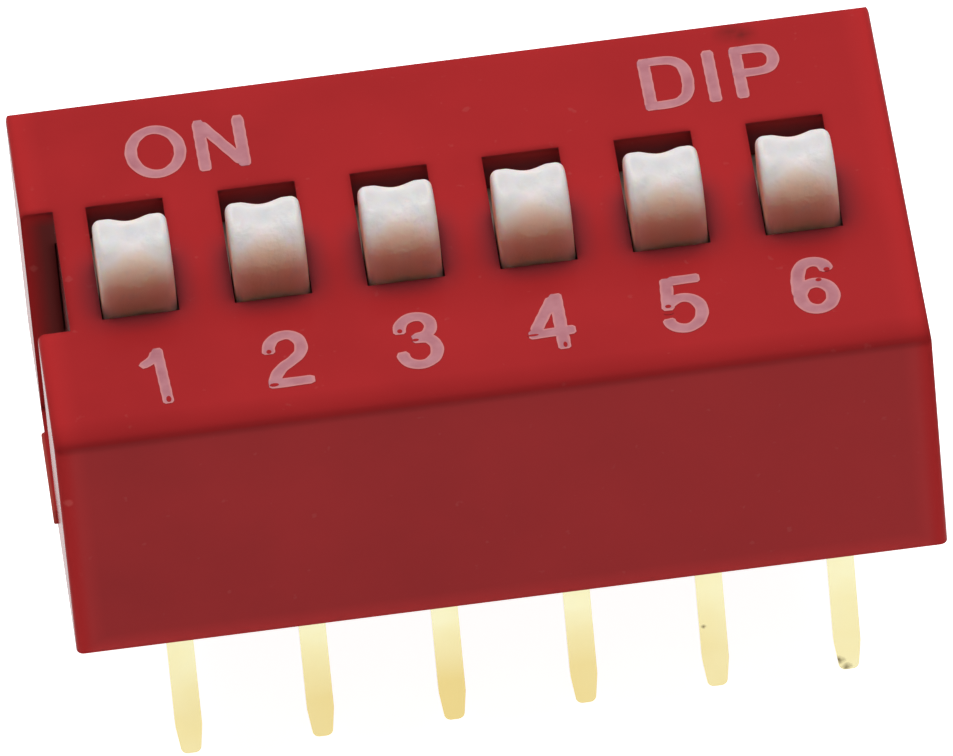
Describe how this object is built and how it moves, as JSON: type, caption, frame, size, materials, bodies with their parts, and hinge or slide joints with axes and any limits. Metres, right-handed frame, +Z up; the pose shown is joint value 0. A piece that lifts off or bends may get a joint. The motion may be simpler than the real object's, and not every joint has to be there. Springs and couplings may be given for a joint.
{
  "type": "dip switch",
  "caption": "Slide dip switch for a circuit board: red moulded case, off-white sliders with saddle-shaped knobs in slots, bridging contacts inside and rows of straight gold-plated pins below.",
  "frame": {"origin": "centre of the seating plane, midway between the two rows of pins", "axes": "+X along the row of sliders away from position 1, +Y towards the ON side, +Z up out of the board"},
  "size_m": [0.0168, 0.0098, 0.0104],
  "materials": {
    "cover_red": "satin moulded thermoplastic",
    "base_red": "satin moulded thermoplastic",
    "slider_white": "satin moulded nylon",
    "contact_gold": "gold-plated spring strip",
    "pin_gold": "pale gold plating"
  },
  "bodies": {
    "housing": {"cover": "cover_red", "base": "base_red", "front_terminal_1": "pin_gold", "front_terminal_2": "pin_gold", "front_terminal_3": "pin_gold", "front_terminal_4": "pin_gold", "front_terminal_5": "pin_gold", "front_terminal_6": "pin_gold", "rear_terminal_1": "pin_gold", "rear_terminal_2": "pin_gold", "rear_terminal_3": "pin_gold", "rear_terminal_4": "pin_gold", "rear_terminal_5": "pin_gold", "rear_terminal_6": "pin_gold"},
    "slider_1": {"actuator_1": "slider_white", "contact_1": "contact_gold"},
    "slider_2": {"actuator_2": "slider_white", "contact_2": "contact_gold"},
    "slider_3": {"actuator_3": "slider_white", "contact_3": "contact_gold"},
    "slider_4": {"actuator_4": "slider_white", "contact_4": "contact_gold"},
    "slider_5": {"actuator_5": "slider_white", "contact_5": "contact_gold"},
    "slider_6": {"actuator_6": "slider_white", "contact_6": "contact_gold"}
  },
  "joints": [
    {"name": "slide_1", "type": "slide", "parent": "housing", "child": "slider_1", "axis": [0, 1, 0], "range_m": [0, 0.0015]},
    {"name": "slide_2", "type": "slide", "parent": "housing", "child": "slider_2", "axis": [0, 1, 0], "range_m": [0, 0.0015]},
    {"name": "slide_3", "type": "slide", "parent": "housing", "child": "slider_3", "axis": [0, 1, 0], "range_m": [0, 0.0015]},
    {"name": "slide_4", "type": "slide", "parent": "housing", "child": "slider_4", "axis": [0, 1, 0], "range_m": [0, 0.0015]},
    {"name": "slide_5", "type": "slide", "parent": "housing", "child": "slider_5", "axis": [0, 1, 0], "range_m": [0, 0.0015]},
    {"name": "slide_6", "type": "slide", "parent": "housing", "child": "slider_6", "axis": [0, 1, 0], "range_m": [0, 0.0015]}
  ]
}
